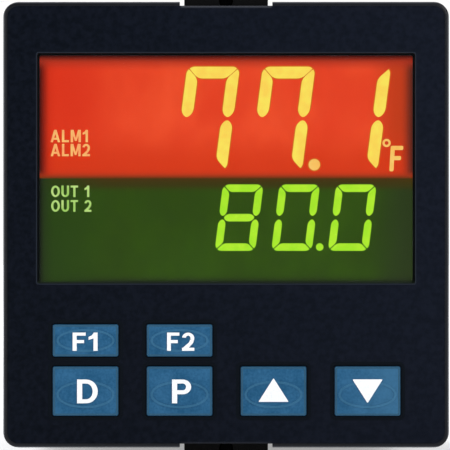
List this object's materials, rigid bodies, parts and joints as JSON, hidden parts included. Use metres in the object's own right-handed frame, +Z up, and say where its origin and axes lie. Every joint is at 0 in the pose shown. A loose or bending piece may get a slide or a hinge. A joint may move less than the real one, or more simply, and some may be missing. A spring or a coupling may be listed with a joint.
{
  "type": "panel-mounted PID temperature controller",
  "caption": "Square panel-mounted temperature controller with a lit display, push keys, a sliding mounting latch with jack screws, and barrier terminals at the rear.",
  "frame": {"origin": "centre of the panel cut-out, in the plane of the panel's front surface, where the gasket seats", "axes": "+Z up, front faces -Y, +Y runs back along the case, +X to the right seen from the front"},
  "size_m": [0.0966, 0.1105, 0.1044],
  "materials": {
    "bezel_black": "fine moulded texture",
    "overlay_navy": "printed film, fine grain",
    "window_clear": "clear, hard coated",
    "lcd": "polished glass over a polariser",
    "light_red": "translucent light guide",
    "light_green": "translucent light guide",
    "holder_white": "moulded",
    "key_blue": "satin, printed",
    "switch_black": "moulded",
    "button_ivory": "moulded",
    "gasket_rubber": "soft, matt",
    "case_black": "fine moulded texture",
    "latch_black": "moulded",
    "board_green": "solder mask",
    "connector_black": "moulded",
    "steel_plated": "zinc plated",
    "core_steel": "laminated, varnished",
    "coil_tape": "polyester tape over copper",
    "can_sleeve": "shrink sleeve",
    "relay_blue": "moulded",
    "varistor_blue": "dipped",
    "chip_black": "moulded",
    "contact_tin": "tin plated",
    "terminal_black": "moulded"
  },
  "bodies": {
    "controller": {"backlight_lower": "light_green", "backlight_upper": "light_red", "case": "case_black", "display_board": "board_green", "display_board_screws": "steel_plated", "display_window": "window_clear", "filter_capacitors": "can_sleeve", "front_bezel": "bezel_black", "front_overlay": "overlay_navy", "input_board": "board_green", "input_board_connector": "connector_black", "input_chips": "chip_black", "lcd_glass": "lcd", "lcd_holder": "holder_white", "output_relays": "relay_blue", "panel_gasket": "gasket_rubber", "power_board": "board_green", "power_board_connector": "connector_black", "processor_chip": "chip_black", "rear_cover": "case_black", "switch_housings": "switch_black", "terminal_contacts_lower": "contact_tin", "terminal_contacts_upper": "contact_tin", "terminal_screws_lower": "steel_plated", "terminal_screws_upper": "steel_plated", "terminal_strip_lower_left": "terminal_black", "terminal_strip_lower_right": "terminal_black", "terminal_strip_upper_left": "terminal_black", "terminal_strip_upper_right": "terminal_black", "transformer_coil": "coil_tape", "transformer_core": "core_steel", "varistor": "varistor_blue"},
    "key_f1": {"key_f1": "key_blue", "switch_button_f1": "button_ivory"},
    "key_f2": {"key_f2": "key_blue", "switch_button_f2": "button_ivory"},
    "key_display": {"key_display": "key_blue", "switch_button_display": "button_ivory"},
    "key_program": {"key_program": "key_blue", "switch_button_program": "button_ivory"},
    "key_up": {"key_up": "key_blue", "switch_button_up": "button_ivory"},
    "key_down": {"key_down": "key_blue", "switch_button_down": "button_ivory"},
    "latch": {"panel_latch": "latch_black", "latch_tab_left": "latch_black", "latch_tab_right": "latch_black"},
    "top_screw": {"latch_screw_top": "steel_plated"},
    "bottom_screw": {"latch_screw_bottom": "steel_plated"}
  },
  "joints": [
    {"name": "key_f1_press", "type": "slide", "parent": "controller", "child": "key_f1", "axis": [0, 1, 0], "range_m": [0, 0.0005], "stiffness_N_per_m": 2000},
    {"name": "key_f2_press", "type": "slide", "parent": "controller", "child": "key_f2", "axis": [0, 1, 0], "range_m": [0, 0.0005], "stiffness_N_per_m": 2000},
    {"name": "key_display_press", "type": "slide", "parent": "controller", "child": "key_display", "axis": [0, 1, 0], "range_m": [0, 0.0005], "stiffness_N_per_m": 2000},
    {"name": "key_program_press", "type": "slide", "parent": "controller", "child": "key_program", "axis": [0, 1, 0], "range_m": [0, 0.0005], "stiffness_N_per_m": 2000},
    {"name": "key_up_press", "type": "slide", "parent": "controller", "child": "key_up", "axis": [0, 1, 0], "range_m": [0, 0.0005], "stiffness_N_per_m": 2000},
    {"name": "key_down_press", "type": "slide", "parent": "controller", "child": "key_down", "axis": [0, 1, 0], "range_m": [0, 0.0005], "stiffness_N_per_m": 2000},
    {"name": "latch_slide", "type": "slide", "parent": "controller", "child": "latch", "axis": [0, 1, 0], "range_m": [-0.005, 0.092], "deforming": ["latch_tab_left", "latch_tab_right"]},
    {"name": "top_screw_travel", "type": "slide", "parent": "latch", "child": "top_screw", "axis": [0, 1, 0], "range_m": [-0.004, 0.004]},
    {"name": "bottom_screw_travel", "type": "slide", "parent": "latch", "child": "bottom_screw", "axis": [0, 1, 0], "range_m": [-0.004, 0.004]}
  ]
}
